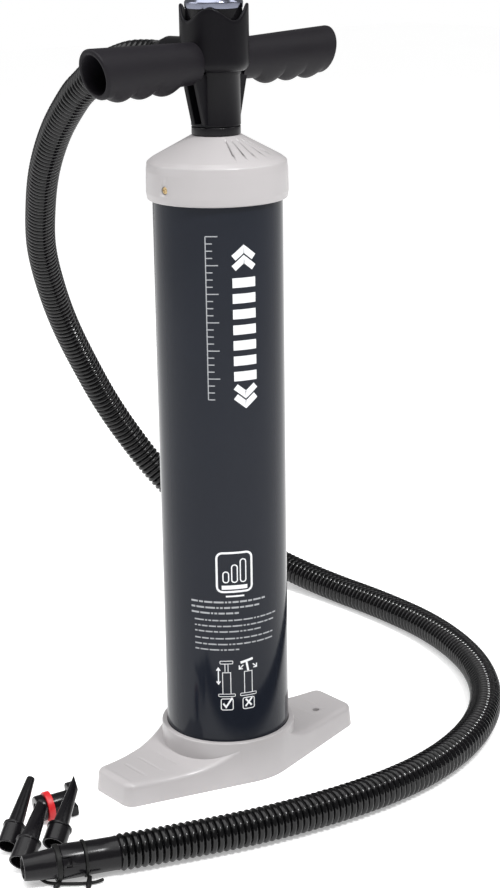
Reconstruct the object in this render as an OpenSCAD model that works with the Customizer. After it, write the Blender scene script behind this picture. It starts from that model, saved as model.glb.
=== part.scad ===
// Double action hand pump with a swivelling T handle, a pressure gauge, a hose and a set of nozzles.
// Millimetres, +Z up. The origin is on the barrel's axis, at the bottom of the foot.

/* [Barrel] */
// Outside diameter of the barrel tube
barrel_od = 90; // [86:1:92]
// Wall thickness of the barrel tube
barrel_wall = 2; // [1.5:0.5:2.5]
// Travel of the handle and piston
stroke = 380; // [300:10:380]

/* [Foot] */
// Length of the foot from tip to tip
foot_length = 216; // [190:2:220]
// Width of each tip of the foot
tip_width = 46; // [36:2:50]
// Thickness of the foot at its tips
pad_height = 15; // [13:1:17]
// Height of the collar round the barrel
collar_height = 31.5; // [28:0.5:36]

/* [Handle] */
// Length of the handle from grip to grip along its axis
handle_length = 236; // [210:1:240]
// Angle between the handle and the foot
handle_turn = 11; // [0:1:20]
// Slant of the grips' open ends
grip_slant = 16; // [0:1:25]
// Outside diameter of the crown round the gauge
crown_od = 46.8; // [46:0.2:50]

/* [Rod] */
// Outside diameter of the hollow piston rod
rod_od = 22; // [20:0.5:22]
// Inside diameter of the hollow piston rod
rod_id = 18; // [14:0.5:18]

/* [Hose] */
// Outside diameter of the corrugated hose
hose_od = 25; // [23:0.5:26]
// Outside diameter of the open end of the main nozzle
nozzle_tip_od = 16.5; // [14:0.5:17]

/* [Hidden] */
$fn = 64;

fit_gap = 0.05;          // radial clearance of running and pushed fits
loose_gap = 0.3;         // clearance between parts that must not rub
cut = 1;                 // how far a cutting solid runs past the face that it cuts

barrel_r = barrel_od / 2;
barrel_ir = barrel_r - barrel_wall;
rod_r = rod_od / 2;
rod_ir = rod_id / 2;
crown_r = crown_od / 2;
hose_r = hose_od / 2;

// Heights, from the floor up
foot_floor = 10;                         // top of the foot's floor inside the barrel
gasket_t = 2;
barrel_z = foot_floor + gasket_t;        // bottom end of the barrel
piston_z = 18;                           // bottom of the piston with the handle down
piston_h = 24;
bumper_h = 5;
nut_z = piston_z + piston_h + bumper_h + stroke + 0.5;
nut_h = 8.5;
plate_z = nut_z + nut_h;                 // underside of the valve plate
plate_t = 3;
barrel_top = plate_z - gasket_t;
cap_z = barrel_top - 14.5;               // lower rim of the cap
cap_top = cap_z + 43;
guide_top = cap_top + 6.1;
neck_z = guide_top + 0.4;                // lower end of the handle's neck
crown_z = cap_z + 86;                    // underside of the crown
grip_z = cap_z + 91.7;                   // axis of the grips
port_z = cap_z + 92;                     // axis of the hose port
crown_top = cap_z + 129;
lobe_turn = -12.5;         // turn of the crown's lobes from the grips
gauge_floor = cap_z + 99.5;

// Foot
foot_r = 50;             // half width of the foot at the barrel
tip_corner = 9;
saddle_r = 60;           // hollow curve from the collar down to each pad
saddle_x = 62;           // where the saddle runs out into the pad
collar_r = 49;
tread_x = [44, 58, 72, 86];
peg_hole = [80, -8];
peg_hole_r = 2.6;

// Cap
cap_r = 49;
cap_seat_r = 14.4;       // hole for the rod guide
guide_r = 16.9;
guide_stem_r = 14.3;
vent_first = -111;       // bearing of the first vent slot
vent_step = 12;
screw_turn = 185;        // bearing of the first cap screw
screw_z = cap_z + 10;

// Piston
piston_r = barrel_ir - 0.5;
seal_r = barrel_ir - 0.1;
groove_r = 40;
gallery_r = 31;
port_ring = 22;          // ring of air holes in the piston
piston_screw_ring = 35.8;

// Handle
neck_r = 17;
slot_half = 3;           // half width of the channel between the two fins at each side of the neck
fin_t = 3.3;
hub_r = 8;               // the core's spigot inside each grip
hub_end = 34;
grip_root = 22;
grip_root_size = [14.2, 9.7];    // half height and half width of a grip at the crown
grip_end_size = [16.6, 12.5];
bore_root_size = [11.4, 8.2];
bore_end_size = [12.9, 10.2];
grip_bore_depth = 74;
flank = 10;              // how far a grip's flatter flanks are centred beyond its axis
bump_r = 21;
bump_x = [53, 76, 99];
bump_low = 18.7;         // depth of a finger bump below the grip's axis
bump_half = 7;           // half width of a finger bump
port_out = 49;           // reach of the hose port from the barrel's axis
cuff_out = 55;           // reach of the hose's upper cuff

// Gauge
gauge_r = 19.2;
bezel_r = 19.8;
dial_z = gauge_floor + 28;

// Hose end and nozzles
end_point = [-163.4, -86.7, hose_r];
end_turn = 158.6;
cuff_r = 11.2;
cuff_len = 24;
sleeve_len = 15;
ring_w = 4;
nozzle_len = 21;
adapter_lift = 28;       // the loose adapters rest on the rims of their cups, tips raised
cone_at = [-209.1, -22.6, 6.8];
cone_turn = 37;
wide_at = [-215.3, -48.9, 7.7];
wide_turn = 35;
spike_at = [-185, -42.4, 7.6];
spike_turn = 35.7;
valve_at = [-160, 1.8, 10.8];
valve_turn = -14.5;
valve_lift = 4.4;
tether_path = [[-211, -66, 1.5], [-207.5, -77.5, 1.6], [-193, -90, 1.4], [-180.5, -94, 1.5]];

// The hose's centre line, from the upper cuff to the lower one
hose_side = [-sin(handle_turn), cos(handle_turn), 0];
function beside(reach) = hose_side * reach + [0, 0, port_z];
drop = cap_z - 419.5;    // moves the upper route with the handle when the stroke changes
hose_route = [
    beside(cuff_out), beside(cuff_out + 20) - [0, 0, 1],
    [-15, 96, 505 + drop], [-14, 117, 498 + drop], [-11, 138, 488 + drop], [-8, 159, 476 + drop],
    [3, 201, 448 + drop], [17, 241, 414], [36, 279, 377], [57, 313, 337], [83, 341, 295],
    [110, 362, 253], [138, 375, 210], [164, 380, 168], [189, 376, 128], [210, 362, 93],
    [230, 339, 63], [246, 307, 40], [259, 267, 25], [268, 221, 16], [273, 170, 12.5],
    [274, 119, 12.5], [270, 67, 12.5], [258, 19, 12.5], [238, -25, 12.5], [210, -63, 12.5],
    [175, -94, 12.5], [133, -117, 12.5], [86, -131, 12.5], [36, -135, 12.5], [-18, -130, 12.5],
    [-74, -118, 12.5], [-131, -99, 12.5], end_point
];
hose_sides = 10;
rings_per_span = 2;

// Catmull-Rom curve through the route's points
function route_at(i) = hose_route[max(0, min(len(hose_route) - 1, i))];
function spline(i, t) =
    let (a = route_at(i - 1), b = route_at(i), c = route_at(i + 1), d = route_at(i + 2),
         p = 0.5 * (2 * b + (c - a) * t + (2 * a - 5 * b + 4 * c - d) * t * t
                    + (3 * b - a - 3 * c + d) * t * t * t))
    [p[0], p[1], max(p[2], hose_r)];
function unit(v) = v / norm(v);
hose_line = [
    for (i = [0 : len(hose_route) - 2], k = [0 : rings_per_span - 1]) spline(i, k / rings_per_span),
    hose_route[len(hose_route) - 1]
];
function along(i) =
    i == 0 ? hose_side
    : i == len(hose_line) - 1 ? [cos(end_turn), sin(end_turn), 0]
    : unit(hose_line[i + 1] - hose_line[i - 1]);
// Carries a cross direction along the line without twist
function across(i) =
    i == 0 ? unit(cross([0, 0, 1], along(0)))
    : let (t = along(i), s = across(i - 1)) unit(s - t * (s * t));
hose_cross = [for (i = 0, s = across(0); i < len(hose_line);
                   i = i + 1, s = i < len(hose_line) ? unit(s - along(i) * (s * along(i))) : s) s];
function hose_ring(i) =
    let (s = hose_cross[i], n = cross(along(i), s))
    [for (k = [0 : hose_sides - 1])
        hose_line[i] + hose_r * (cos(360 * k / hose_sides) * s + sin(360 * k / hose_sides) * n)];

// Angle of the line that touches two circles at their upper sides
function touch_angle(c, r1, r2) = atan2(c[1], c[0]) + acos((r1 - r2) / norm(c));

module ring(r_out, r_in, h) {
    difference() {
        cylinder(r = r_out, h = h);
        translate([0, 0, -cut]) cylinder(r = r_in, h = h + 2 * cut);
    }
}

module holes_round(n, at, r, h) {
    for (i = [0 : n - 1])
        rotate([0, 0, 360 * i / n]) translate([at, 0, 0]) cylinder(r = r, h = h);
}

module turned() {
    rotate([0, 0, handle_turn]) children();
}

module toward_port() {
    turned() translate([0, 0, port_z]) rotate([-90, 0, 0]) children();
}

module from_hose_end(distance) {
    translate(end_point) rotate([0, 0, end_turn]) rotate([0, 90, 0]) translate([0, 0, distance])
        children();
}

module leaning(p, turn, lift = adapter_lift) {
    translate(p) rotate([0, 0, turn]) rotate([0, 90 - lift, 0]) children();
}

// ---- Foot ----

module foot_outline() {
    corner = [foot_length / 2 - tip_corner, tip_width / 2 - tip_corner];
    a = touch_angle(corner, foot_r, tip_corner);
    n = [cos(a), sin(a)];
    side = [foot_r * n, corner + tip_corner * n, [foot_length / 2, corner[1]]];
    circle(r = foot_r, $fn = 96);
    for (sx = [-1, 1]) {
        polygon([for (p = side) [sx * p[0], p[1]], for (i = [2 : -1 : 0]) [sx * side[i][0], -side[i][1]]]);
        for (sy = [-1, 1]) translate([sx * corner[0], sy * corner[1]]) circle(r = tip_corner, $fn = 32);
    }
}

// Side view of the foot: a pad at each end and a hollow curve up to the collar
module foot_profile() {
    rise = collar_height - pad_height;
    reach = sqrt(saddle_r * saddle_r - pow(saddle_r - rise, 2));
    top_a = asin(reach / saddle_r);
    right = [for (k = [0 : 12]) let (a = top_a * (1 - k / 12))
                [saddle_x - saddle_r * sin(a), pad_height + saddle_r * (1 - cos(a))]];
    end_x = foot_length / 2 + cut;
    polygon(concat([[-end_x, 0], [-end_x, pad_height]],
                   [for (i = [len(right) - 1 : -1 : 0]) [-right[i][0], right[i][1]]],
                   right, [[end_x, pad_height], [end_x, 0]]));
}

module underside_pockets() {
    for (sx = [-1, 1], i = [0 : 2])
        translate([sx * (59 + 17 * i) - 7, -13 + i, -cut]) cube([14, 26 - 2 * i, pad_height - 4 + cut]);
}

module base_foot() color([0.80, 0.79, 0.79]) {
    difference() {
        union() {
            intersection() {
                linear_extrude(collar_height) foot_outline();
                rotate([90, 0, 0]) translate([0, 0, -foot_r - cut])
                    linear_extrude(2 * (foot_r + cut)) foot_profile();
            }
            cylinder(r = collar_r, h = collar_height);
            for (sx = [-1, 1], x = tread_x)
                translate([sx * x - 0.75, -12 - (86 - x) / 4, pad_height - 1])
                    cube([1.5, 24 + (86 - x) / 2, 2]);
        }
        translate([0, 0, foot_floor]) cylinder(r = barrel_r + fit_gap, h = collar_height);
        translate([0, 0, 4]) cylinder(r = 2.8, h = foot_floor);
        translate([0, 0, -cut]) holes_round(6, 14, 3.5, foot_floor + 2 * cut);
        translate([0, 0, -cut]) ring(18, 9, 4 + cut);
        for (sy = [-1, 1]) translate([-3, sy * 34 - 19, -cut]) cube([6, 38, 4 + cut]);
        underside_pockets();
        translate([peg_hole[0], peg_hole[1], -cut]) cylinder(r = peg_hole_r, h = pad_height + 3 * cut);
    }
}

module base_gasket() color([0.12, 0.12, 0.13])
    translate([0, 0, foot_floor]) ring(barrel_r, barrel_ir, gasket_t);

module base_valve_disc() color([0.55, 0.20, 0.16])
    translate([0, 0, foot_floor]) ring(21, 3.2, 2);

module base_valve_pin() color([0.15, 0.15, 0.16]) {
    translate([0, 0, 4]) cylinder(r = 2.75, h = 11);
    translate([0, 0, 13.8]) cylinder(r = 8, h = 2);
}

// ---- Barrel and cap ----

module barrel() color([0.20, 0.21, 0.25])
    difference() {
        translate([0, 0, barrel_z]) ring(barrel_r, barrel_ir, barrel_top - barrel_z);
        cap_screw_solids(1.45);
    }

module top_cap() color([0.80, 0.79, 0.79])
    difference() {
        rotate_extrude($fn = 96) translate([0, cap_z]) polygon([
            [barrel_r + fit_gap, 0], [48.2, 0], [cap_r, 1], [cap_r, 20.5], [48.3, 24], [46.5, 26.7],
            [17.6, 43], [cap_seat_r, 43], [cap_seat_r, 39], [17, 39], [43.5, 24.2],
            [barrel_r + fit_gap, 21.5]]);
        for (i = [0 : 4])
            rotate([0, 0, vent_first + vent_step * i]) translate([21, -0.5, cap_z + 26]) cube([15.5, 1, 20]);
        for (turn = [screw_turn, screw_turn + 180])
            rotate([0, 0, turn]) translate([0, 0, screw_z]) rotate([0, 90, 0]) {
                cylinder(r = 1.45, h = cap_r + cut);
                translate([0, 0, cap_r - 1.6]) cylinder(r = 2.9, h = 1.6 + cut);
            }
    }

module cap_gasket() color([0.12, 0.12, 0.13])
    translate([0, 0, barrel_top]) ring(barrel_r, barrel_ir, gasket_t);

module cap_valve_plate() color([0.25, 0.25, 0.27])
    translate([0, 0, plate_z]) difference() {
        ring(barrel_r, cap_seat_r, plate_t);
        translate([0, 0, -cut]) holes_round(8, 29, 4, plate_t + 2 * cut);
    }

module cap_valve_ring() color([0.55, 0.20, 0.16])
    translate([0, 0, plate_z - 2]) ring(37, 21, 2);

module cap_screw_solids(r) {
    for (turn = [screw_turn, screw_turn + 180])
        rotate([0, 0, turn]) translate([barrel_ir - cut / 2, 0, screw_z]) rotate([0, 90, 0])
            cylinder(r = r, h = cap_r - 1.6 - barrel_ir + cut / 2);
}

module cap_screws() color([0.72, 0.62, 0.42])
    for (turn = [screw_turn, screw_turn + 180])
        rotate([0, 0, turn]) translate([0, 0, screw_z]) rotate([0, 90, 0]) difference() {
            union() {
                translate([0, 0, barrel_ir + 0.3]) cylinder(r = 1.4, h = cap_r - 1.6 - barrel_ir);
                translate([0, 0, cap_r - 1.6]) cylinder(r = 2.5, h = 1.2);
            }
            translate([-1.6, -0.35, cap_r - 1.1]) cube([3.2, 0.7, 2]);
            translate([-0.35, -1.6, cap_r - 1.1]) cube([0.7, 3.2, 2]);
        }

module rod_guide() color([0.10, 0.10, 0.11])
    difference() {
        union() {
            translate([0, 0, cap_top]) cylinder(r1 = guide_r - 0.6, r2 = guide_r, h = 1);
            translate([0, 0, cap_top + 1]) cylinder(r = guide_r, h = guide_top - cap_top - 1);
            translate([0, 0, nut_z + 1]) cylinder(r = guide_stem_r, h = cap_top - nut_z);
        }
        translate([0, 0, nut_z]) cylinder(r = rod_r + fit_gap, h = guide_top - nut_z + cut);
        translate([0, 0, nut_z + 4]) cylinder(r = 13, h = 3);
    }

module guide_nut() color([0.14, 0.14, 0.15])
    translate([0, 0, nut_z]) difference() {
        cylinder(r = 19, h = nut_h);
        translate([0, 0, 1]) cylinder(r = guide_stem_r + fit_gap, h = nut_h);
        translate([0, 0, -cut]) cylinder(r = rod_r + loose_gap, h = nut_h);
        for (i = [0 : 5])
            rotate([0, 0, 60 * i]) translate([19.5, 0, -cut]) cylinder(r = 2.5, h = nut_h + 2 * cut);
    }

module rod_seal() color([0.12, 0.12, 0.13])
    translate([0, 0, nut_z + 4.1]) ring(12.9, rod_r + fit_gap, 2.8);

// ---- Piston and rod ----

module piston_rod() color([0.78, 0.79, 0.80])
    difference() {
        translate([0, 0, piston_z + 6]) ring(rod_r, rod_ir, neck_z + 31 - piston_z - 6);
        translate([0, 0, piston_z + 11]) for (i = [0 : 1])
            rotate([0, 0, 90 * i]) rotate([0, 90, 0]) cylinder(r = 1.5, h = 2 * rod_od, center = true);
    }

module piston_body() color([0.16, 0.16, 0.17])
    translate([0, 0, piston_z]) difference() {
        union() {
            difference() {
                cylinder(r = piston_r, h = 16);
                translate([0, 0, 6]) cylinder(r = gallery_r, h = 16);
            }
            translate([0, 0, 5]) cylinder(r = rod_ir - fit_gap, h = 4);
        }
        translate([0, 0, 1.5]) difference() {
            cylinder(r = piston_r + cut, h = 3);
            translate([0, 0, -cut]) cylinder(r = groove_r, h = 3 + 2 * cut);
        }
        translate([0, 0, -cut]) holes_round(8, port_ring, 3.5, 10);
        translate([0, 0, -cut]) holes_round(4, piston_screw_ring, 2, 20);
        translate([0, 0, -cut]) holes_round(4, piston_screw_ring, 3.3, 3 + cut);
    }

module piston_cover() color([0.16, 0.16, 0.17])
    translate([0, 0, piston_z + 16]) difference() {
        cylinder(r = piston_r, h = 8);
        translate([0, 0, -cut]) cylinder(r = rod_r + fit_gap, h = 10);
        translate([0, 0, 3.5]) difference() {
            cylinder(r = piston_r + cut, h = 3);
            translate([0, 0, -cut]) cylinder(r = groove_r, h = 3 + 2 * cut);
        }
        translate([0, 0, -cut]) holes_round(8, port_ring, 3.5, 10);
        translate([0, 0, -cut]) holes_round(4, piston_screw_ring, 2, 5 + cut);
    }

module piston_seal(z) {
    translate([0, 0, z]) ring(seal_r, groove_r + fit_gap, 2.8);
}

module piston_seal_lower() color([0.12, 0.12, 0.13]) piston_seal(piston_z + 1.6);

module piston_seal_upper() color([0.12, 0.12, 0.13]) piston_seal(piston_z + 19.6);

module piston_valve_disc() color([0.55, 0.20, 0.16])
    translate([0, 0, piston_z + 6]) ring(29.5, 13, 2);

module piston_valve_ring() color([0.55, 0.20, 0.16])
    translate([0, 0, piston_z + 14]) ring(29.5, 13, 2);

module piston_screws() color([0.70, 0.70, 0.72])
    translate([0, 0, piston_z]) difference() {
        union() {
            translate([0, 0, 2]) holes_round(4, piston_screw_ring, 1.9, 18);
            translate([0, 0, 0.6]) holes_round(4, piston_screw_ring, 3.2, 2.4);
        }
        for (i = [0 : 3]) rotate([0, 0, 90 * i]) translate([piston_screw_ring, 0, 0]) {
            translate([-2, -0.4, 0]) cube([4, 0.8, 1.4]);
            translate([-0.4, -2, 0]) cube([0.8, 4, 1.4]);
        }
    }

module stroke_bumper() color([0.13, 0.13, 0.14])
    translate([0, 0, piston_z + piston_h]) ring(17.5, rod_r + fit_gap, bumper_h);

// ---- Handle ----

module neck() {
    difference() {
        translate([0, 0, neck_z]) cylinder(r = neck_r, h = crown_z - neck_z + 2);
        for (sx = [-1, 1]) translate([sx * 22 - 9.5, -slot_half, neck_z + 2])
            cube([19, 2 * slot_half, 26]);
    }
    for (sx = [0, 1], sy = [0, 1]) mirror([sx, 0, 0]) mirror([0, sy, 0])
        translate([0, slot_half + fin_t, 0]) rotate([90, 0, 0]) linear_extrude(fin_t) polygon([
            [12, neck_z + 1.5], [18.5, neck_z + 1.5], [26.5, neck_z + 31], [20.5, neck_z + 31],
            [20.5, crown_z + 0.5], [12, crown_z + 0.5]]);
}

module crown() {
    difference() {
        union() {
            translate([0, 0, crown_z]) cylinder(r1 = crown_r - 2.6, r2 = crown_r, h = 4);
            translate([0, 0, crown_z + 4]) cylinder(r = crown_r, h = crown_top - crown_z - 4);
        }
        for (a = [0, 90]) rotate([0, 0, a + lobe_turn]) translate([0, 0, crown_top + 4.5]) rotate([90, 0, 0])
            cylinder(r = 14, h = 3 * crown_r, center = true);
    }
}

module handle_core() color([0.10, 0.10, 0.11])
    difference() {
        union() {
            turned() neck();
            turned() crown();
            turned() translate([-hub_end, 0, grip_z]) rotate([0, 90, 0]) cylinder(r = hub_r, h = 2 * hub_end);
            toward_port() cylinder(r = 15.3, h = port_out - 8);
            toward_port() translate([0, 0, port_out - 8]) cylinder(r1 = 15.3, r2 = 12.2, h = 8);
        }
        translate([0, 0, neck_z - cut]) cylinder(r = rod_r + fit_gap, h = 32);
        translate([0, 0, neck_z + 30]) cylinder(r = 7, h = 15);
        translate([0, 0, gauge_floor - 7]) cylinder(r = 5, h = 8);
        toward_port() cylinder(r = 6.5, h = port_out + cut);
        toward_port() translate([0, 0, 30]) cylinder(r = 11 + fit_gap, h = port_out);
        translate([0, 0, gauge_floor]) cylinder(r = crown_r - 2.1, h = 40);
    }

// Round cone with its two sides pressed flatter; each size is a half height and a half width
module oval_cone(from, to, h) {
    intersection() {
        cylinder(r1 = from[0], r2 = to[0], h = h);
        translate([0, flank, 0]) cylinder(r1 = from[1] + flank, r2 = to[1] + flank, h = h);
        translate([0, -flank, 0]) cylinder(r1 = from[1] + flank, r2 = to[1] + flank, h = h);
    }
}

module grip() {
    difference() {
        translate([0, 0, grip_z]) union() {
            translate([grip_root, 0, 0]) rotate([0, 90, 0])
                oval_cone(grip_root_size, grip_end_size, handle_length / 2 + 8 - grip_root);
            for (x = bump_x) translate([x, bump_half, bump_r - bump_low]) rotate([90, 0, 0])
                cylinder(r = bump_r, h = 2 * bump_half);
        }
        translate([handle_length / 2, 0, grip_z]) rotate([0, grip_slant, 0])
            translate([0, -40, -40]) cube([40, 80, 80]);
        translate([handle_length / 2 - grip_bore_depth, 0, grip_z]) rotate([0, 90, 0])
            oval_cone(bore_root_size, bore_end_size, grip_bore_depth + 20);
        translate([grip_root - cut, 0, grip_z]) rotate([0, 90, 0])
            cylinder(r = hub_r + fit_gap, h = hub_end - grip_root + cut + fit_gap);
        translate([0, -slot_half - fin_t - 0.1, neck_z])
            cube([26.6, 2 * (slot_half + fin_t) + 0.2, 31.1]);
        translate([0, 0, neck_z]) cylinder(r = crown_r + fit_gap, h = crown_top - neck_z + 4);
    }
}

module right_grip() color([0.11, 0.11, 0.12]) turned() grip();

module left_grip() color([0.11, 0.11, 0.12]) turned() mirror([1, 0, 0]) grip();

// ---- Gauge ----

module gauge_case() color([0.05, 0.05, 0.06])
    translate([0, 0, gauge_floor]) difference() {
        union() {
            cylinder(r = gauge_r, h = 27.5);
            cylinder(r = 18, h = 31);
            translate([0, 0, -6.5]) cylinder(r = 5 - fit_gap, h = 7);
        }
        translate([0, 0, 4]) cylinder(r = 15.5, h = 30);
        translate([0, 0, 28]) cylinder(r = 17, h = 10);
        translate([0, 0, -8]) cylinder(r = 1.5, h = 14);
    }

module gauge_tube() color([0.72, 0.55, 0.28])
    translate([0, 0, gauge_floor]) {
        translate([0, 0, 12]) rotate_extrude(angle = 250) translate([10, 0]) circle(r = 1.6, $fn = 24);
        translate([10, 0, 4]) cylinder(r = 1.6, h = 8);
    }

module gauge_dial() color([0.93, 0.93, 0.92])
    translate([0, 0, dial_z]) ring(16.9, 0.9, 0.6);

module gauge_needle() color([0.75, 0.12, 0.10])
    turned() translate([0, 0, dial_z]) {
        translate([0, 0, -4]) cylinder(r = 0.6, h = 5.4, $fn = 24);
        translate([0, 0, 1]) cylinder(r = 1.8, h = 1);
        rotate([0, 0, 225]) translate([-3, -0.5, 1.1]) cube([15, 1, 0.6]);
    }

module gauge_lens() color([0.85, 0.88, 0.90, 0.4])
    translate([0, 0, gauge_floor + 31]) cylinder(r = 18, h = 1.5);

module gauge_bezel() color([0.75, 0.76, 0.80])
    translate([0, 0, gauge_floor + 27.5]) difference() {
        union() {
            cylinder(r = bezel_r, h = 4.5);
            translate([0, 0, 4.5]) cylinder(r1 = bezel_r, r2 = bezel_r - 1.8, h = 2);
        }
        translate([0, 0, -cut]) cylinder(r = 18 + fit_gap, h = 6 + fit_gap);
        cylinder(r = 16.6, h = 10);
    }

// ---- Hose and its ends ----

module hose_cuff_top() color([0.08, 0.08, 0.09])
    toward_port() translate([0, 0, 30.5]) ring(11, 8, cuff_out - 30.5);

module hose() color([0.06, 0.06, 0.07]) {
    n = hose_sides;
    last = len(hose_line) - 1;
    polyhedron(
        points = [for (i = [0 : last], p = hose_ring(i)) p],
        faces = concat(
            [[for (k = [0 : n - 1]) k]],
            [for (i = [0 : last - 1], k = [0 : n - 1])
                let (m = (k + 1) % n) [i * n + k, (i + 1) * n + k, (i + 1) * n + m, i * n + m]],
            [[for (k = [n - 1 : -1 : 0]) last * n + k]]));
}

module hose_cuff_end() color([0.08, 0.08, 0.09])
    from_hose_end(0) difference() {
        union() {
            cylinder(r = cuff_r, h = cuff_len);
            translate([0, 0, cuff_len]) cylinder(r = 9, h = sleeve_len - 2);
        }
        translate([0, 0, -cut]) cylinder(r = 7, h = cuff_len + sleeve_len);
    }

module nozzle() color([0.08, 0.08, 0.09])
    from_hose_end(cuff_len + 0.3) difference() {
        union() {
            cylinder(r = 11.7, h = sleeve_len);
            translate([0, 0, sleeve_len]) cylinder(r = 11, h = ring_w);
            translate([0, 0, sleeve_len + ring_w])
                cylinder(r1 = 10.2, r2 = nozzle_tip_od / 2, h = nozzle_len);
        }
        translate([0, 0, -cut]) cylinder(r = 9 + loose_gap, h = sleeve_len - 1 + cut);
        translate([0, 0, sleeve_len - 2]) cylinder(r1 = 7.5, r2 = nozzle_tip_od / 2 - 1.8,
                                                   h = nozzle_len + ring_w + 3);
        rotate([0, 0, 60]) translate([6, -1.2, -cut]) cube([8, 2.4, 11]);
    }

// Round bar from one point to another
module bar(a, b, r) {
    d = b - a;
    translate(a) rotate([0, acos(d[2] / norm(d)), atan2(d[1], d[0])]) cylinder(r = r, h = norm(d));
}

module nozzle_tether() color([0.07, 0.07, 0.08]) {
    from_hose_end(cuff_len - 2) ring(12.3, cuff_r + fit_gap, 2);
    from_hose_end(cuff_len + sleeve_len + 0.6) ring(12.4, 11 + loose_gap, 3.2);
    for (i = [0 : len(tether_path) - 2]) bar(tether_path[i], tether_path[i + 1], 1.1);
    for (p = tether_path) translate(p - [0, 0, 1.3]) cylinder(r = 1.5, h = 2.6);
    bar([-194.5, -96.5, 1.8], [-187.2, -87.7, 3.6], 1.7);
    bar([-210.5, -81.5, 1.8], [-204.9, -79.6, 2.5], 1.7);
}

module cup_and_cone(cup_r, cup_len, base_r, tip_r, cone_len, wall) {
    difference() {
        union() {
            cylinder(r1 = cup_r, r2 = cup_r - 0.3, h = cup_len - 1.5);
            translate([0, 0, cup_len - 3]) cylinder(r = cup_r + 0.4, h = 1.8);
            translate([0, 0, cup_len - 1.5]) cylinder(r1 = cup_r, r2 = cup_r - 1.2, h = 1.5);
            translate([0, 0, cup_len]) cylinder(r1 = base_r, r2 = tip_r, h = cone_len);
        }
        translate([0, 0, -cut]) cylinder(r = cup_r - wall, h = cup_len - 2 + cut);
        translate([0, 0, cup_len - 3]) cylinder(r1 = base_r - wall, r2 = tip_r - 1.2, h = cone_len + 4);
    }
}

module cone_adapter() color([0.08, 0.08, 0.09])
    leaning(cone_at, cone_turn) cup_and_cone(7.4, 18, 5.4, 2.8, 38.5, 1.6);

module wide_adapter() color([0.08, 0.08, 0.09])
    leaning(wide_at, wide_turn) cup_and_cone(8.3, 18, 6.2, 3.8, 29, 1.8);

module spike_adapter() color([0.08, 0.08, 0.09])
    difference() {
        leaning(spike_at, spike_turn) cup_and_cone(8.1, 15, 5.5, 2.3, 44, 1.6);
        leaning(spike_at, spike_turn) translate([0, 0, 52]) rotate([60, 0, 0]) translate([-20, -20, 0])
            cube([40, 40, 20]);
    }

module valve_adapter() color([0.08, 0.08, 0.09])
    leaning(valve_at, valve_turn, valve_lift) difference() {
        union() {
            translate([0, 0, -9]) cylinder(r = 9.3, h = 6);
            translate([0, 0, -9]) cylinder(r = 7.4, h = 24.5);
            translate([-12, -4, 14.5]) cube([24, 8, 6]);
        }
        translate([0, 0, -9 - cut]) cylinder(r = 4.4, h = 32);
    }

module valve_washer() color([0.85, 0.12, 0.14])
    leaning(valve_at, valve_turn, valve_lift) translate([0, 0, -2.3]) difference() {
        ring(10.3, 7.4 + fit_gap, 4.6);
        rotate([0, 0, 180]) translate([8.8, -2.5, -cut]) cube([4, 5, 4.6 + 2 * cut]);
    }

base_foot();
base_gasket();
base_valve_disc();
base_valve_pin();
barrel();
top_cap();
cap_gasket();
cap_valve_plate();
cap_valve_ring();
cap_screws();
rod_guide();
guide_nut();
rod_seal();
piston_rod();
piston_body();
piston_cover();
piston_seal_lower();
piston_seal_upper();
piston_valve_disc();
piston_valve_ring();
piston_screws();
stroke_bumper();
handle_core();
left_grip();
right_grip();
gauge_case();
gauge_tube();
gauge_dial();
gauge_needle();
gauge_lens();
gauge_bezel();
hose_cuff_top();
hose();
hose_cuff_end();
nozzle();
nozzle_tether();
cone_adapter();
wide_adapter();
spike_adapter();
valve_adapter();
valve_washer();
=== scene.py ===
"""Looks of a double action hand pump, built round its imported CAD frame.

Shapes are drawn in millimetres in the frame's own axes and turned into metres by make().
"""

import math

import bmesh
import bpy
from mathutils import Matrix, Vector


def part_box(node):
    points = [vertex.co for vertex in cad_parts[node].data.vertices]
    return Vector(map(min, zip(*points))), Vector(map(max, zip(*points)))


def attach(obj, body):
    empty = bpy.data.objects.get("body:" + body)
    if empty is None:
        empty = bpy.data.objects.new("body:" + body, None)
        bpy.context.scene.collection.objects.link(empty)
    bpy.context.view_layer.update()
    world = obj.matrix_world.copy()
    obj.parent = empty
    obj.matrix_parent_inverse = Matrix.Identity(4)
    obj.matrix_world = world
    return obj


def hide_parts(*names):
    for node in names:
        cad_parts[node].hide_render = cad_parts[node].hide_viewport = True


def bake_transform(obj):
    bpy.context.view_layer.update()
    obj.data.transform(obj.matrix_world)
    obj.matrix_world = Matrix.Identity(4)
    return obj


MM = 0.001
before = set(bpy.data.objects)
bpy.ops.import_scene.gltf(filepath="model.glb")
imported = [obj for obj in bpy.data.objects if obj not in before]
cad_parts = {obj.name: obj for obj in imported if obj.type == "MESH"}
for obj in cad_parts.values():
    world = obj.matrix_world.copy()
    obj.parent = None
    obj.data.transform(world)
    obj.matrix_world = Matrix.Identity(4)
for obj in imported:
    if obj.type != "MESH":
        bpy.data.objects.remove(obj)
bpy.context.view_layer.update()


# ---------------------------------------------------------------- frame datums

def low(node):
    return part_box(node)[0] / MM


def high(node):
    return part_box(node)[1] / MM


BARREL_R = high("barrel").x
CAP_Z = low("top_cap").z
CAP_TOP = high("top_cap").z
GUIDE_TOP = high("rod_guide").z
NECK_Z = low("handle_core").z
CROWN_TOP = CAP_Z + 129
CROWN_Z = CAP_Z + 86
GRIP_Z = CAP_Z + 91.7
PORT_Z = CAP_Z + 92
GAUGE_Z = low("gauge_bezel").z
HANDLE_TURN = math.radians(11)
GRIP_END = 118
ROD_R = high("piston_rod").x
CAMERA_AT = Vector((-0.7905, -1.0010, 0.6161))


# ---------------------------------------------------------------- camera

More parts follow.
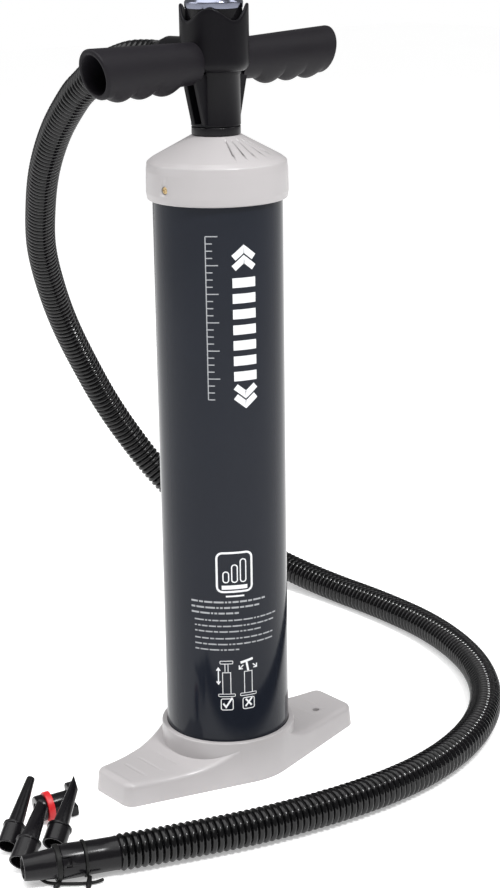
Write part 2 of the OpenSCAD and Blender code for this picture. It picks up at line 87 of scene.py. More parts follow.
def make_camera():
    """The camera, from its bearing, its pitch and its roll."""
    psi, pitch, roll = (math.radians(a) for a in (-39.18, 16.334, -0.913))
    view = Vector((-math.sin(psi) * math.cos(pitch), math.cos(psi) * math.cos(pitch), -math.sin(pitch)))
    level = Vector((math.cos(psi), math.sin(psi), 0))
    up = level.cross(view)
    right = level * math.cos(roll) + up * math.sin(roll)
    upward = up * math.cos(roll) - level * math.sin(roll)
    data = bpy.data.cameras.new("camera")
    data.sensor_width = 36
    data.lens = 75.45
    data.clip_start, data.clip_end = 0.05, 50
    camera = bpy.data.objects.new("camera", data)
    axes = Matrix((right, upward, -view)).transposed()
    camera.matrix_world = Matrix.Translation(CAMERA_AT) @ axes.to_4x4()
    bpy.context.scene.collection.objects.link(camera)
    bpy.context.scene.camera = camera


make_camera()


# ---------------------------------------------------------------- materials

def principled(name, color, rough, **sockets):
    """A new material and its shader node, with plain values set on the shader's own sockets."""
    mat = bpy.data.materials.new(name)
    mat.use_nodes = True
    shader = mat.node_tree.nodes["Principled BSDF"]
    shader.inputs["Base Color"].default_value = (*color, 1)
    shader.inputs["Roughness"].default_value = rough
    for key, value in sockets.items():
        shader.inputs[key.replace("_", " ")].default_value = value
    return mat, shader


def add_noise(mat, scale, detail=3.0):
    nodes, links = mat.node_tree.nodes, mat.node_tree.links
    where = nodes.new("ShaderNodeTexCoord")
    noise = nodes.new("ShaderNodeTexNoise")
    noise.inputs["Scale"].default_value = scale
    noise.inputs["Detail"].default_value = detail
    links.new(where.outputs["Object"], noise.inputs["Vector"])
    return noise


def vary(mat, shader, socket, noise, low_value, high_value):
    """Moves one of the shader's values between two limits with a noise."""
    nodes, links = mat.node_tree.nodes, mat.node_tree.links
    span = nodes.new("ShaderNodeMapRange")
    span.inputs["From Min"].default_value = 0.3
    span.inputs["From Max"].default_value = 0.7
    span.inputs["To Min"].default_value = low_value
    span.inputs["To Max"].default_value = high_value
    links.new(noise.outputs["Fac"], span.inputs["Value"])
    links.new(span.outputs["Result"], shader.inputs[socket])


def tint(mat, shader, noise, color_a, color_b):
    """Mixes two close colours with a noise."""
    nodes, links = mat.node_tree.nodes, mat.node_tree.links
    ramp = nodes.new("ShaderNodeValToRGB")
    ramp.color_ramp.elements[0].position = 0.3
    ramp.color_ramp.elements[1].position = 0.7
    ramp.color_ramp.elements[0].color = (*color_a, 1)
    ramp.color_ramp.elements[1].color = (*color_b, 1)
    links.new(noise.outputs["Fac"], ramp.inputs["Fac"])
    links.new(ramp.outputs["Color"], shader.inputs["Base Color"])


def grain(mat, shader, scale, strength, distance):
    nodes, links = mat.node_tree.nodes, mat.node_tree.links
    noise = add_noise(mat, scale, 2.0)
    bump = nodes.new("ShaderNodeBump")
    bump.inputs["Strength"].default_value = strength
    bump.inputs["Distance"].default_value = distance
    links.new(noise.outputs["Fac"], bump.inputs["Height"])
    links.new(bump.outputs["Normal"], shader.inputs["Normal"])


def shades(color, spread):
    return [tuple(c * f for c in color) for f in (1 - spread, 1 + spread)]


# Depth of the grain, in metres
PLASTIC_GRAIN, METAL_GRAIN = 0.0001, 0.00005


def plastic(name, color, rough, spread=0.04, grain_scale=0, grain_strength=0.0, **sockets):
    """Moulded plastic or rubber: slightly uneven in colour and gloss, with an optional fine grain."""
    mat, shader = principled(name, color, rough, **sockets)
    cloud = add_noise(mat, 18)
    tint(mat, shader, cloud, *shades(color, spread))
    vary(mat, shader, "Roughness", cloud, rough * 0.92, min(1, rough * 1.08))
    if grain_scale:
        grain(mat, shader, grain_scale, grain_strength, PLASTIC_GRAIN)
    return mat


def metal(name, color, rough):
    """Metal: slightly uneven, with a very fine grain."""
    mat, shader = principled(name, color, rough, Metallic=1.0)
    cloud = add_noise(mat, 60)
    tint(mat, shader, cloud, *shades(color, 0.05))
    vary(mat, shader, "Roughness", cloud, rough * 0.8, rough * 1.2)
    grain(mat, shader, 900, 0.05, METAL_GRAIN)
    return mat


GREY = plastic("warm_grey_plastic", (0.425, 0.407, 0.411), 0.30, 0.015, 1800, 0.04, Specular_IOR_Level=0.45)
SLATE = plastic("slate_gloss", (0.0115, 0.0138, 0.0205), 0.11, 0.05, Specular_IOR_Level=0.18)
BLACK = plastic("black_satin", (0.0065, 0.0060, 0.0072), 0.22, 0.1, 1500, 0.05, Specular_IOR_Level=0.24)
HANDLE = plastic("black_grained", (0.0095, 0.0084, 0.0108), 0.50, 0.1, 1300, 0.9, Specular_IOR_Level=0.16)
CROWN = plastic("black_crown", (0.0048, 0.0044, 0.0058), 0.32, 0.1, 1300, 0.15, Specular_IOR_Level=0.14)
HOSE = plastic("black_gloss", (0.003, 0.003, 0.0034), 0.09, 0.1, Specular_IOR_Level=0.34)
RUBBER = plastic("black_rubber", (0.008, 0.008, 0.008), 0.5, 0.1, 1200, 0.15, Specular_IOR_Level=0.2)
VALVE_RED = plastic("brick_silicone", (0.30, 0.07, 0.045), 0.55, 0.06)
WASHER_RED = plastic("red_rubber", (0.62, 0.015, 0.02), 0.42, 0.06)
ROD = metal("drawn_tube", (0.78, 0.78, 0.80), 0.22)
STEEL = metal("plated_steel", (0.55, 0.55, 0.57), 0.3)
BRASS = metal("screw_brass", (0.62, 0.46, 0.24), 0.3)
CHROME = metal("bezel_chrome", (0.27, 0.285, 0.36), 0.17)
DIAL = plastic("dial_white", (0.80, 0.80, 0.80), 0.45, 0.01)
INK = plastic("print_black", (0.01, 0.01, 0.012), 0.4, 0.05)
PRINT = plastic("print_white", (0.80, 0.81, 0.83), 0.35, 0.01)
FAINT_PRINT = plastic("print_pale", (0.36, 0.37, 0.39), 0.4, 0.01)
NEEDLE = plastic("needle_red", (0.50, 0.02, 0.02), 0.35, 0.05)
LENS, _ = principled("clear_window", (0.95, 0.97, 1.0), 0.05, Transmission_Weight=1.0, IOR=1.3)


# ---------------------------------------------------------------- mesh helpers

SIDEWAYS = Matrix.Rotation(math.radians(90), 4, "Y")


def turned(angle=HANDLE_TURN):
    return Matrix.Rotation(angle, 4, "Z")


def turned_deg(angle):
    return turned(math.radians(angle))


def raised(height):
    return Matrix.Translation((0, 0, height))


def make(name, bm, material, body, nodes=(), place=None, sharp=40):
    """Turns a mesh drawn in millimetres into a smooth shaded piece that rides on a body."""
    if place is not None:
        bm.transform(place)
    bmesh.ops.remove_doubles(bm, verts=bm.verts, dist=1e-4)
    bmesh.ops.recalc_face_normals(bm, faces=bm.faces)
    bm.transform(Matrix.Scale(MM, 4))
    limit = math.radians(sharp)
    for face in bm.faces:
        face.smooth = True
    for edge in bm.edges:
        edge.smooth = len(edge.link_faces) == 2 and edge.calc_face_angle(0) < limit
    mesh = bpy.data.meshes.new(name)
    bm.to_mesh(mesh)
    bm.free()
    mesh.materials.append(material)
    piece = bpy.data.objects.new(name, mesh)
    bpy.context.scene.collection.objects.link(piece)
    if body:
        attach(piece, body)
    if nodes:
        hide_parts(*nodes)
    return piece


def skin(bm, loops, start=False, end=False, closed=True):
    """Joins loops of points into a surface, with optional caps. Returns the rows of vertices."""
    rows = [[bm.verts.new(p) for p in loop] for loop in loops]
    n = len(rows[0])
    for a, b in zip(rows, rows[1:]):
        for i in range(n if closed else n - 1):
            j = (i + 1) % n
            bm.faces.new([a[i], a[j], b[j], b[i]])
    if start:
        bm.faces.new(rows[0][::-1])
    if end:
        bm.faces.new(rows[-1])
    return rows


def rounded(corners, steps=5):
    """A line through (x, y, radius) corners, with an arc at each corner that has a radius."""
    line = []
    for i, (x, y, *r) in enumerate(corners):
        radius = r[0] if r else 0
        here = Vector((x, y))
        if not radius or i in (0, len(corners) - 1):
            line.append((x, y))
            continue
        before = Vector(corners[i - 1][:2]) - here
        after = Vector(corners[i + 1][:2]) - here
        half = before.angle(after) / 2
        reach = min(radius / math.tan(half), 0.49 * before.length, 0.49 * after.length)
        a, b = here + before.normalized() * reach, here + after.normalized() * reach
        for k in range(steps + 1):
            t = k / steps
            p = a * (1 - t) ** 2 + here * 2 * t * (1 - t) + b * t ** 2
            line.append((p.x, p.y))
    return line


def circle(r, z, steps):
    return [(r * math.cos(2 * math.pi * k / steps), r * math.sin(2 * math.pi * k / steps), z)
            for k in range(steps)]


def lathe(bm, profile, steps=96):
    """Turns a line of (radius, height) points about Z."""
    return skin(bm, [circle(r, z, steps) for r, z in profile])


def box_mesh(bm, low_corner, high_corner, place=None):
    x0, y0, z0 = low_corner
    x1, y1, z1 = high_corner
    loops = [[(x0, y0, z), (x1, y0, z), (x1, y1, z), (x0, y1, z)] for z in (z0, z1)]
    rows = skin(bm, loops, True, True)
    if place is not None:
        bmesh.ops.transform(bm, matrix=place, verts=[v for row in rows for v in row])


def add_mesh(bm, part):
    """Moves everything in part into bm."""
    mesh = bpy.data.meshes.new("part")
    part.to_mesh(mesh)
    part.free()
    bm.from_mesh(mesh)
    bpy.data.meshes.remove(mesh)


def apply_modifiers(piece):
    """Replaces a piece's mesh with the result of its modifiers."""
    bpy.context.view_layer.update()
    shape = piece.evaluated_get(bpy.context.evaluated_depsgraph_get())
    mesh = bpy.data.meshes.new_from_object(shape)
    piece.modifiers.clear()
    piece.data = mesh


def cut(piece, *cutters):
    """Takes the cutters' volume out of a piece."""
    for cutter in cutters:
        modifier = piece.modifiers.new("cut", "BOOLEAN")
        modifier.operation = "DIFFERENCE"
        modifier.solver = "EXACT"
        modifier.object = cutter
    apply_modifiers(piece)
    for cutter in cutters:
        bpy.data.objects.remove(cutter)


def smooth_curve(points, steps):
    """Catmull-Rom curve through points, with so many steps between each pair."""
    pts = [Vector(p) for p in points]
    line = []
    for i in range(len(pts) - 1):
        a, b = pts[max(i - 1, 0)], pts[i]
        c, d = pts[i + 1], pts[min(i + 2, len(pts) - 1)]
        for k in range(steps):
            t = k / steps
            line.append(0.5 * (2 * b + (c - a) * t + (2 * a - 5 * b + 4 * c - d) * t * t
                               + (3 * b - a - 3 * c + d) * t ** 3))
    line.append(pts[-1])
    return line


def evenly(line, count):
    """The line again, as count + 1 evenly spaced points."""
    lengths = [0.0]
    for a, b in zip(line, line[1:]):
        lengths.append(lengths[-1] + (b - a).length)
    result, i = [], 0
    for k in range(count + 1):
        s = lengths[-1] * k / count
        while i < len(line) - 2 and lengths[i + 1] < s:
            i += 1
        t = (s - lengths[i]) / (lengths[i + 1] - lengths[i])
        result.append(line[i].lerp(line[i + 1], min(max(t, 0), 1)))
    return result, lengths[-1]


def tube(bm, line, radii, sides, start=True, end=True):
    """Sweeps circles along a line, without twist."""
    across = None
    loops = []
    for i, p in enumerate(line):
        along = (line[min(i + 1, len(line) - 1)] - line[max(i - 1, 0)]).normalized()
        if across is None:
            across = Vector((0, 0, 1)).cross(along).normalized()
        across = (across - along * across.dot(along)).normalized()
        other = along.cross(across)
        r = radii[i] if hasattr(radii, "__len__") else radii
        loops.append([
            p + r * (math.cos(2 * math.pi * k / sides) * across
                     + math.sin(2 * math.pi * k / sides) * other)
            for k in range(sides)
        ])
    skin(bm, loops, start, end)


def blend_values(table, x):
    """Straight line interpolation in a short table of (x, value) pairs."""
    if x <= table[0][0]:
        return table[0][1]
    for (x0, v0), (x1, v1) in zip(table, table[1:]):
        if x <= x1:
            t = (x - x0) / (x1 - x0)
            return v0 + (v1 - v0) * t
    return table[-1][1]


# ---------------------------------------------------------------- hose

HOSE_R = 12.5
RIB_DEPTH = 2.1
PITCH = 4.75
STEPS_PER_RIB = 8
SIDE = Vector((-math.sin(HANDLE_TURN), math.cos(HANDLE_TURN), 0))
PORT = Vector((0, 0, PORT_Z * MM))
# The route of the hose, in metres, from the handle's port down to the floor and round to the front.
ROUTE = [
    PORT + SIDE * 0.055, PORT + SIDE * 0.075 - Vector((0, 0, 0.001)),
    (-0.015, 0.096, 0.505), (-0.014, 0.117, 0.498), (-0.011, 0.138, 0.488), (-0.008, 0.159, 0.476),
    (0.003, 0.201, 0.448), (0.017, 0.241, 0.414), (0.036, 0.279, 0.377), (0.057, 0.313, 0.337),
    (0.083, 0.341, 0.295), (0.110, 0.362, 0.253), (0.138, 0.375, 0.210), (0.164, 0.380, 0.168),
    (0.189, 0.376, 0.128), (0.210, 0.362, 0.093), (0.230, 0.339, 0.063), (0.246, 0.307, 0.040),
    (0.259, 0.267, 0.025), (0.268, 0.221, 0.016), (0.273, 0.170, 0.0125), (0.274, 0.119, 0.0125),
    (0.270, 0.067, 0.0125), (0.258, 0.019, 0.0125), (0.238, -0.025, 0.0125), (0.210, -0.063, 0.0125),
    (0.175, -0.094, 0.0125), (0.133, -0.117, 0.0125), (0.086, -0.131, 0.0125), (0.036, -0.135, 0.0125),
    (-0.018, -0.130, 0.0125), (-0.074, -0.118, 0.0125), (-0.131, -0.099, 0.0125),
    (-0.1634, -0.0867, 0.0125),
]


def hose_wave(turns):
    """Radius of the corrugated wall at so many ribs along the hose: round crests, narrow valleys."""
    t = turns % 1.0
    return HOSE_R - RIB_DEPTH * (1 - math.sin(math.pi * t) ** 0.7)


def make_hose():
    """The corrugated hose, its centre line and its length, both in metres."""
    line = smooth_curve([Vector(p) / MM for p in ROUTE], 12)
    for p in line:
        p.z = max(p.z, HOSE_R)
    _, length = evenly(line, 10)
    ribs = round(length / PITCH)
    points, _ = evenly(line, ribs * STEPS_PER_RIB)
    radii = [hose_wave(i / STEPS_PER_RIB) for i in range(len(points))]
    bm = bmesh.new()
    tube(bm, points, radii, 24)
    hose = make("hose_corrugated", bm, HOSE, None, ["hose"], sharp=80)
    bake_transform(hose)
    return hose, [p * MM for p in points[::STEPS_PER_RIB]], length * MM


hose_piece, hose_path, hose_length = make_hose()


def toward_port(reach=0):
    """Place for a part drawn about Z that points out of the back of the handle."""
    return turned() @ raised(PORT_Z) @ Matrix.Rotation(math.radians(-90), 4, "X") @ raised(reach)


END = Vector(ROUTE[-1]) / MM
END_TURN = math.radians(158.6)


def at_hose_end(distance=0):
    """Place for a part drawn about Z that follows on from the hose's far end."""
    return Matrix.Translation(END) @ turned(END_TURN) @ SIDEWAYS @ raised(distance)


def make_top_cuff():
    """Cuff between the hose and the port of the handle."""
    bm = bmesh.new()
    lathe(bm, rounded([(8, 0), (11, 0, 0.5), (11, 22, 0.3), (12.1, 22.4, 0.4), (12.1, 24.4, 0.4),
                       (8, 24.4)]), 64)
    return make("hose_cuff_upper", bm, HOSE, "handle", ["hose_cuff_top"], toward_port(30.5))


def make_end_cuff():
    """Cuff at the far end of the hose, with the spigot that the nozzle turns on."""
    bm = bmesh.new()
    lathe(bm, rounded([(7, -1), (10.6, -1), (10.9, 0), (11.5, 0.6, 0.4), (11.4, 1.8), (11.2, 2.4), (11.2, 12),
                       (11.3, 23.6, 0.4), (10.6, 24), (9, 24.1), (9, 36.9, 0.6), (7, 36.9), (7, -1)]), 64)
    return make("hose_cuff_lower", bm, BLACK, "hose_set", ["hose_cuff_end"], at_hose_end())


NOZZLE_AT = 24.3
# Cuts of the J slot round the nozzle's sleeve: from and to an angle, then from and to a distance
J_SLOT = ((126, 131.5, 9.6, 15.2), (104, 131.5, 8.8, 10.2), (96, 104.5, 8.8, 12.6))


def around_nozzle(radius, turn, distance):
    a = math.radians(turn)
    return (radius * math.cos(a), radius * math.sin(a), distance)


def make_bayonet_slots():
    """Cutters for the J slot: a way in along the sleeve, a turn round it and a notch at its end."""
    cutters = []
    for number, (turn_0, turn_1, from_0, from_1) in enumerate(J_SLOT):
        slot = bmesh.new()
        steps = 8
        loops = []
        for k in range(steps + 1):
            turn = turn_0 + (turn_1 - turn_0) * k / steps
            loops.append([around_nozzle(r, turn, d) for r, d in
                          ((10.5, from_0), (13, from_0), (13, from_1), (10.5, from_1))])
        skin(slot, loops, True, True)
        cutters.append(make(f"slot_{number}", slot, BLACK, None, (), at_hose_end(NOZZLE_AT)))
    return cutters


def make_nozzle():
    """Main nozzle: a sleeve over the cuff's spigot, then a taper."""
    bm = bmesh.new()
    lathe(bm, rounded([(9.3, 0), (11.6, 0, 0.4), (11.6, 14.6, 0.3), (10.9, 15.0), (10.9, 18.7),
                       (10.5, 19.0, 0.3), (10.2, 19.5), (9.2, 30), (8.3, 39.4, 0.7), (6.9, 39.9, 0.6),
                       (6.4, 38.6), (8.2, 14), (9.3, 13)]), 72)
    nozzle = make("nozzle_body", bm, BLACK, "nozzle", ["nozzle"], at_hose_end(NOZZLE_AT))
    cut(nozzle, *make_bayonet_slots())
    return nozzle


top_cuff = make_top_cuff()
end_cuff = make_end_cuff()
nozzle_piece = make_nozzle()


TETHER_LEGS = (((-194.5, -96.5, 1.9), (-187.2, -87.7, 3.6)), ((-210.5, -81.5, 1.9), (-204.9, -79.6, 2.5)))


def make_tether():
    """Strap between two rings, one on the cuff and one on the nozzle, with a leg at each."""
    bm = bmesh.new()
    for distance, width in ((22.1, 1.9), (39.75, 3.1)):
        ring = bmesh.new()
        lathe(ring, rounded([(11.35, 0), (12.4, 0, 0.5), (12.4, width, 0.5), (11.35, width), (11.35, 0)]), 64)
        ring.transform(at_hose_end(distance))
        add_mesh(bm, ring)
    strap = smooth_curve([(-211, -65, 1.7), (-210.5, -71.5, 1.5), (-207, -77, 1.5), (-200, -83.5, 1.5),
                          (-192, -89.5, 1.5), (-186, -92.5, 1.5), (-180.5, -93.5, 1.7)], 6)
    tube(bm, strap, 1.15, 10)
    for low_end, high_end in TETHER_LEGS:
        leg = smooth_curve([low_end, Vector(low_end).lerp(Vector(high_end), 0.5), high_end], 3)
        tube(bm, leg, [1.3, 1.8, 1.9, 1.9, 1.7, 1.6, 1.6], 12)
    return make("tether_strap", bm, RUBBER, "hose_set", ["nozzle_tether"])


tether_piece = make_tether()


# ---------------------------------------------------------------- foot

TIP_X, TIP_Y, TIP_R = 108, 23, 9
FOOT_R, COLLAR_R, COLLAR_TOP = 50, 49, 31.7
EDGE_R, COLLAR_EDGE_R = 4.6, 1.2
TREAD_LINES = (86, 72, 58, 44)
TREAD_HALF, TREAD_DEPTH = 1.2, 0.45
PEG_HOLE = Vector((80, -8, 0))
# Height of the top face, and how far the walls lean in at the top, by distance from the barrel's axis
SADDLE = [(0, 31.4), (19, 31.4), (22, 29.6), (26, 26.9), (30, 24.4), (37, 21.0), (44, 18.5), (52, 16.6),
          (61, 15.4), (76, 15.0), (90, 15.4), (108, 16.7)]
DRAFT = [(0, 1.0), (15, 1.0), (40, 3.4), (62, 5.0), (84, 4.0), (100, 1.8), (108, 1.4)]


def foot_edge():
    """Half of the foot's outline, from the middle of a side to the corner of the tip, with normals."""
    corner = Vector((TIP_X - TIP_R, TIP_Y - TIP_R))
    lean = math.atan2(corner.y, corner.x) + math.acos((FOOT_R - TIP_R) / corner.length)
    edge = []
    for k in range(8):
        a = math.radians(90) + (lean - math.radians(90)) * k / 8
        edge.append((FOOT_R * math.cos(a), FOOT_R * math.sin(a), a))
    start = Vector((math.cos(lean), math.sin(lean))) * FOOT_R
    stop = corner + Vector((math.cos(lean), math.sin(lean))) * TIP_R
    for k in range(110):
        p = start.lerp(stop, k / 110)
        edge.append((p.x, p.y, lean))
    for k in range(9):
        a = lean * (1 - k / 8)
        edge.append((corner.x + TIP_R * math.cos(a), corner.y + TIP_R * math.sin(a), a))
    return edge


def saddle_height(x):
    """Smooth height of the foot's top face."""
    total = 0
    for k in range(-2, 3):
        total += blend_values(SADDLE, abs(x + 1.6 * k))
    return total / 5


def tread(x, y):
    """Shallow sunk lines across a pad."""
    ax = abs(x)
    if abs(y) < 12.5 - 0.12 * (ax - 86):
        for line_x in TREAD_LINES:
            if abs(ax - line_x) < TREAD_HALF:
                return -TREAD_DEPTH * math.cos(math.pi / 2 * (ax - line_x) / TREAD_HALF)
    return 0


def make_foot():
    """Two armed foot with rounded top edges, a collar round the barrel and a small hole in one pad."""
    edge = foot_edge()
    half = [(x, y, math.cos(a), math.sin(a)) for x, y, a in edge]
    side = [(-x, y, -nx, ny) for x, y, nx, ny in reversed(half[1:])] + half
    columns = 36
    # Rings up the wall: how far up, and how far round the top edge
    levels = [(0.0, 0.0), (0.5, 0.0)] + [(1.0, k / 6) for k in range(7)]

    def ring_point(p, level, round_part):
        x, y, nx, ny = p
        radius = EDGE_R if abs(x) > 24 else COLLAR_EDGE_R
        inset = blend_values(DRAFT, abs(x))
        turn = round_part * math.pi / 2
        top = saddle_height(x)
        wall = (top - radius) * level
        shift = inset * wall / top
        if round_part:
            shift += radius * (1 - math.cos(turn))
            wall += radius * math.sin(turn)
        return Vector((x - nx * shift, y - ny * shift, wall))

    def loop(level, round_part):
        upper = [ring_point(p, level, round_part) for p in side]
        lower = [Vector((v.x, -v.y, v.z)) for v in upper]
        right = [upper[-1].lerp(lower[-1], k / columns) for k in range(1, columns)]
        left = [lower[0].lerp(upper[0], k / columns) for k in range(1, columns)]
        return upper + right + lower[::-1] + left

    bm = bmesh.new()
    loops = [loop(*level) for level in levels]
    rim = [Vector((v.x * 0.985, v.y * 0.94, 0)) for v in loops[0]]
    pocket = [Vector((v.x * 0.98, v.y * 0.92, 3)) for v in loops[0]]
    rows = skin(bm, [pocket, rim] + loops, start=True)
    top = rows[-1]
    n = len(side)
    grid = []
    for j in range(n):
        a, b = top[j], top[2 * n + columns - 2 - j]
        row = [a]
        for k in range(1, columns):
            if j == 0:
                row.append(top[2 * n + 2 * columns - 2 - k])
            elif j == n - 1:
                row.append(top[n - 1 + k])
            else:
                p = a.co.lerp(b.co, k / columns)
                p.z += tread(p.x, p.y)
                row.append(bm.verts.new(p))
        grid.append(row + [b])
    for a, b in zip(grid, grid[1:]):
        for k in range(columns):
            middle = (a[k].co + b[k + 1].co) / 2
            beside_hole = math.hypot(middle.x - PEG_HOLE.x, middle.y - PEG_HOLE.y)
            if math.hypot(middle.x, middle.y) > 47 and beside_hole > 3.1:
                bm.faces.new([a[k], b[k], b[k + 1], a[k + 1]])
    seat_r = BARREL_R + 0.15
    lathe(bm, rounded([(0.01, 10), (seat_r, 10), (seat_r, COLLAR_TOP, 0.5), (COLLAR_R, COLLAR_TOP, 1.2),
                       (COLLAR_R + 0.2, 20), (COLLAR_R + 0.2, 3)]), 128)
    hole = bmesh.new()
    face = saddle_height(PEG_HOLE.x)
    lathe(hole, rounded([(4.1, face - 0.5), (3.9, face + 0.03, 0.2), (2.75, face + 0.02, 0.3),
                         (2.65, face - 1), (2.65, 3)]), 40)
    hole.transform(Matrix.Translation(PEG_HOLE))
    add_mesh(bm, hole)
    foot = make("foot_shell", bm, GREY, "base", ["base_foot"], sharp=50)


make_foot()


# ---------------------------------------------------------------- cap, guide and screws

SCREW_TURNS = (185, 5)
VENT_FIRST, VENT_STEP = -111, 12


def make_cap():
    """Cap with a conical top, five vent slots and a recess for each screw."""
    z = CAP_Z
    seat_r = BARREL_R + 0.15
    profile = rounded([
        (seat_r, z + 0.4), (seat_r, z, 0.3), (48.3, z, 1.6), (49.05, z + 5, 2), (48.75, z + 20, 3),
        (48.1, z + 25.5, 2.2), (44.6, z + 28.2, 2.5), (35, z + 33.4), (25.1, z + 38.7), (17.2, z + 43, 0.3),
        (14.5, z + 43, 0.2), (14.5, z + 39.2), (17.1, z + 39), (43.4, z + 24.4), (seat_r, z + 21.6),
        (seat_r, z + 0.4)], 6)
    bm = bmesh.new()
    lathe(bm, profile, 160)
    cap = make("cap_shell", bm, GREY, "base", ["top_cap"], sharp=45)
    cutters = []
    for k in range(5):
        slot = bmesh.new()
        box_mesh(slot, (21, -0.55, z + 26), (36.5, 0.55, z + 46))
        cutters.append(make(f"slot_{k}", slot, GREY, None, (), turned_deg(VENT_FIRST + VENT_STEP * k)))
    for turn in SCREW_TURNS:
        recess = bmesh.new()
        lathe(recess, [(0.001, 47.3), (2.9, 47.3), (3.1, 52), (0.001, 52)], 32)
        place = turned_deg(turn) @ raised(z + 10) @ SIDEWAYS
        cutters.append(make(f"recess_{turn}", recess, GREY, None, (), place))
    cut(cap, *cutters)


def make_screws():
    """Two cross head screws in the side of the cap."""
    z = CAP_Z + 10
    both = bmesh.new()
    for turn in SCREW_TURNS:
        bm = bmesh.new()
        lathe(bm, rounded([(0.001, 43.4), (1.4, 43.4), (1.4, 47.4), (2.5, 47.4, 0.2), (2.4, 48.3, 0.5),
                           (0.001, 48.7)]), 32)
        bm.transform(turned_deg(turn) @ raised(z) @ SIDEWAYS)
        add_mesh(both, bm)
    screws = make("cap_screw_heads", both, BRASS, "base", ["cap_screws"])
    cutters = []
    for turn in SCREW_TURNS:
        for wide, tall in ((3.4, 0.7), (0.7, 3.4)):
            slot = bmesh.new()
            box_mesh(slot, (47.9, -wide / 2, z - tall / 2), (50, wide / 2, z + tall / 2))
            cutters.append(make(f"cross_{turn}_{wide}", slot, BRASS, None, (), turned_deg(turn)))
    cut(screws, *cutters)


def make_guide():
    """Black ring where the rod enters the cap."""
    z = CAP_TOP
    bore_r = ROD_R + 0.1
    bm = bmesh.new()
    lathe(bm, rounded([(bore_r, NECK_Z - 0.5), (16.4, GUIDE_TOP, 0.5), (16.9, GUIDE_TOP - 0.6, 0.3),
                       (16.9, z + 1.0, 0.4), (16.2, z + 0.1), (14.3, z), (14.3, z - 34), (bore_r, z - 34),
                       (bore_r, GUIDE_TOP)], 3), 96)
    make("guide_ring", bm, BLACK, "base", ["rod_guide"])


make_cap()
make_screws()
make_guide()


# ---------------------------------------------------------------- print on the barrel

PRINT_R = BARREL_R + 0.06
PRINT_FACE = math.radians(-128.3)


def on_barrel(across, up):
    """Point on the barrel's surface, from a distance round it and a height."""
    a = PRINT_FACE + across / BARREL_R
    return Vector((PRINT_R * math.cos(a), PRINT_R * math.sin(a), up))


def stroke(bm, points, width, closed=False):
    """A flat line of ink through (across, up) points."""
    pts = [Vector(p) for p in points]
    if closed:
        pts.append(pts[0])
    fine = [pts[0]]
    for a, b in zip(pts, pts[1:]):
        parts = max(1, math.ceil((b - a).length / 1.2))
        fine += [a.lerp(b, k / parts) for k in range(1, parts + 1)]
    n = len(fine)
    loops = []
    for i, p in enumerate(fine):
        if closed:
            before = fine[i - 1] if i else fine[-2]
            after = fine[i + 1] if i < n - 1 else fine[1]
        else:
            before, after = fine[max(i - 1, 0)], fine[min(i + 1, n - 1)]
        into, out = (p - before).normalized(), (after - p).normalized()
        along = (into + out).normalized() if into.length and out.length else (into + out)
        half = width / 2 / max(0.5, along.dot(out if out.length else into))
        side = Vector((-along.y, along.x)) * half
        loops.append([on_barrel(*(p + side)), on_barrel(*(p - side))])
    skin(bm, loops, closed=False)


def frame_line(left, low_edge, right, high_edge, corner):
    """Outline of a rounded rectangle."""
    line = []
    for x, y, start in ((right - corner, high_edge - corner, 0), (left + corner, high_edge - corner, 90),
                        (left + corner, low_edge + corner, 180), (right - corner, low_edge + corner, 270)):
        for k in range(5):
            a = math.radians(start + 22.5 * k)
            line.append((x + corner * math.cos(a), y + corner * math.sin(a)))
    return line


def print_level_mark(bm):
    """Bold mark: an arrowhead at each end of a stack of bars."""
    left, right, middle = 8.9, 25.6, 17.2
    for tip, foot in ((393, 385), (386, 378), (281, 289), (288, 296)):
        stroke(bm, [(left + 1, foot), (middle, tip - (tip - foot) * 0.25), (right - 1, foot)], 4.4)
    for k in range(7):
        z = 368 - 10.8 * k
        stroke(bm, [(left, z), (right, z)], 6.6)


def print_scale(bm):
    """Fine scale beside the bold mark."""
    for k in range(24):
        z = 400 - 4.9 * k
        stroke(bm, [(-9.0, z), (-0.6 if k % 4 == 0 else -4.4, z)], 0.7)
    stroke(bm, [(-9.0, 400), (-9.0, 287.3)], 0.7)


def print_badge(bm):
    """Badge in a frame: three bars over a thick line, and a thinner line below the frame."""
    stroke(bm, frame_line(-6.0, 147, 19.2, 176, 4), 1.5, closed=True)
    for k, height in enumerate((8, 13, 17)):
        x = 0.4 + 6.2 * k
        stroke(bm, frame_line(x - 2, 154, x + 2, 154 + height, 1.9), 0.8, closed=True)
    stroke(bm, [(-2.6, 150.3), (15.8, 150.3)], 3.0)
    stroke(bm, [(0.2, 143.6), (13.4, 143.6)], 1.2)


def print_lines(bm):
    """Rows of short dashes where the instructions stand."""
    rows = ((139.2, -25.6, 30), (135.0, -25.6, 25), (130.8, -25.6, 10), (125.4, -23.2, 42),
            (121.0, -23.2, 38), (116.8, -23.2, 27), (111.6, -23.2, 37), (107.2, -23.2, 37), (103.0, -23.2, 9))
    lengths = (5.2, 2.0, 7.1, 3.1, 4.4, 1.6, 6.0)
    for row, (z, x, stop) in enumerate(rows):
        word = row
        while x < stop - 2:
            length = lengths[word * 3 % len(lengths)]
            stroke(bm, [(x, z), (min(x + length, stop), z)], 1.3 if row < 3 else 1.0)
            x += length + 0.9
            word += 1


